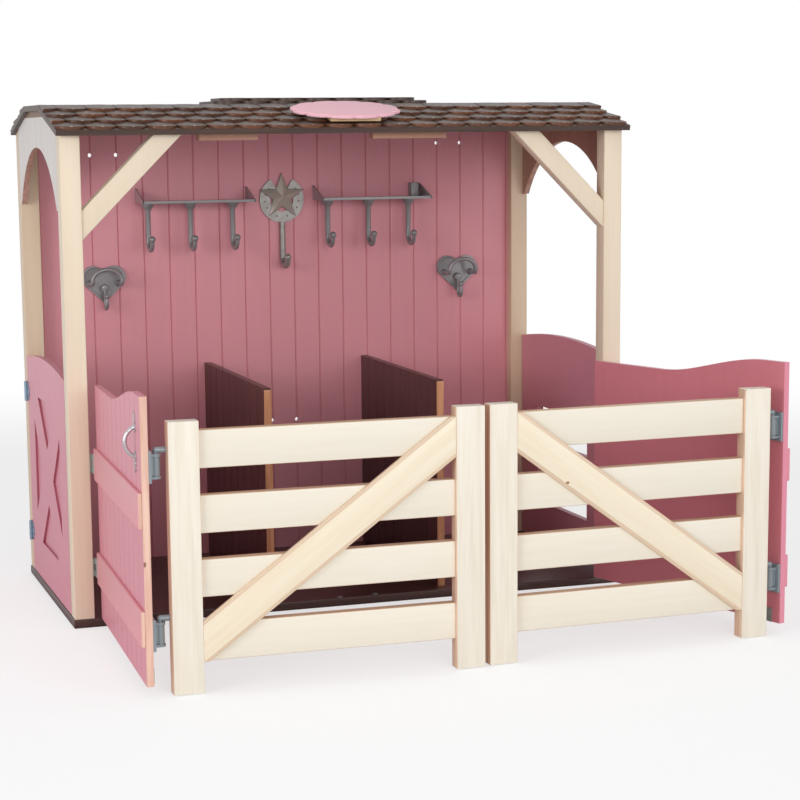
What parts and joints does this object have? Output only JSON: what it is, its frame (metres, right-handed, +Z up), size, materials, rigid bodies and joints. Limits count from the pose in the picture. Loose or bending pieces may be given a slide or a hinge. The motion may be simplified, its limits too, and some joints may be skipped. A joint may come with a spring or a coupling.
{
  "type": "toy barn",
  "caption": "Wooden toy stable barn with hinged front doors, lift-off gates, hinged end doors, stall dividers, hooks and a scallop-shingled roof.",
  "frame": {"origin": "centre of the base board's bottom face, on the floor", "axes": "+X to the right seen from the open front, +Y to the back wall, +Z up"},
  "size_m": [0.722, 0.6264, 0.5747],
  "materials": {
    "cream_paint": "satin cream paint",
    "pink_paint": "satin pink paint",
    "wall_paint": "satin pink paint on grooved board",
    "gable_paint": "satin off-white paint",
    "brown_paint": "satin dark brown stain",
    "roof_stain": "semi-gloss brown stain, worn at the lips",
    "raw_wood": "bare light wood",
    "gate_paint": "satin cream paint",
    "grey_plastic": "moulded grey plastic",
    "steel": "plated steel",
    "blue_silver": "blue-silver metallic",
    "plaque_paint": "satin pink paint"
  },
  "bodies": {
    "barn": {"base_board": "brown_paint", "front_left_post": "cream_paint", "front_right_post": "cream_paint", "rear_left_post": "cream_paint", "rear_right_post": "cream_paint", "back_wall": "wall_paint", "left_gable": "gable_paint", "right_gable": "gable_paint", "ridge_beam": "roof_stain", "roof_front_board": "roof_stain", "roof_top_board": "roof_stain", "roof_rear_board": "roof_stain", "front_shingle_row_1": "roof_stain", "front_shingle_row_2": "roof_stain", "front_shingle_row_3": "roof_stain", "front_shingle_row_4": "roof_stain", "rear_shingle_row_1": "roof_stain", "rear_shingle_row_2": "roof_stain", "rear_shingle_row_3": "roof_stain", "rear_shingle_row_4": "roof_stain", "roof_cap_lower": "roof_stain", "roof_cap_upper": "roof_stain", "plaque_block": "raw_wood", "roof_plaque": "plaque_paint", "eave_cleats": "raw_wood", "corner_braces": "cream_paint", "left_divider": "brown_paint", "right_divider": "brown_paint", "left_hook_shelf": "grey_plastic", "right_hook_shelf": "grey_plastic", "star_hook": "blue_silver", "left_heart_rack": "grey_plastic", "right_heart_rack": "grey_plastic", "magnet_catch": "grey_plastic", "front_hinge_post_leaves": "steel", "side_hinge_post_leaves": "blue_silver"},
    "left_side_door": {"left_side_panel": "pink_paint", "left_side_hinge_leaves": "blue_silver"},
    "right_side_door": {"right_side_panel": "pink_paint", "right_side_hinge_leaves": "blue_silver"},
    "left_front_door": {"left_door_panel": "pink_paint", "left_door_battens": "pink_paint", "left_door_handle": "steel", "left_door_hinge_leaves": "steel", "left_door_catch_plate": "steel", "left_gate_brackets": "grey_plastic"},
    "right_front_door": {"right_door_panel": "pink_paint", "right_door_battens": "pink_paint", "right_door_handle": "steel", "right_door_hinge_leaves": "steel", "right_door_catch_plate": "steel", "right_gate_brackets": "grey_plastic"},
    "left_gate": {"left_gate_posts": "gate_paint", "left_gate_rails": "gate_paint", "left_gate_brace": "gate_paint", "left_gate_arms": "grey_plastic"},
    "right_gate": {"right_gate_posts": "gate_paint", "right_gate_rails": "gate_paint", "right_gate_brace": "gate_paint", "right_gate_arms": "grey_plastic"}
  },
  "joints": [
    {"name": "left_side_door_hinge", "type": "hinge", "parent": "barn", "child": "left_side_door", "pos_m": [-0.3282, 0.132, 0.1], "axis": [0, 0, 1], "range_deg": [-175, 0]},
    {"name": "right_side_door_hinge", "type": "hinge", "parent": "barn", "child": "right_side_door", "pos_m": [0.3282, 0.132, 0.1], "axis": [0, 0, 1], "range_deg": [0, 175]},
    {"name": "left_front_door_hinge", "type": "hinge", "parent": "barn", "child": "left_front_door", "pos_m": [-0.2996, -0.1566, 0.1], "axis": [0, 0, 1], "range_deg": [-86, 0]},
    {"name": "right_front_door_hinge", "type": "hinge", "parent": "barn", "child": "right_front_door", "pos_m": [0.2996, -0.1566, 0.1], "axis": [0, 0, 1], "range_deg": [0, 70]},
    {"name": "left_gate_pintle", "type": "hinge", "parent": "left_front_door", "child": "left_gate", "pos_m": [-0.29333, -0.44639, 0.1], "axis": [0, 0, 1], "range_deg": [-90, 55]},
    {"name": "right_gate_pintle", "type": "hinge", "parent": "right_front_door", "child": "right_gate", "pos_m": [0.37002, -0.43778, 0.1], "axis": [0, 0, 1], "range_deg": [-55, 90]}
  ]
}
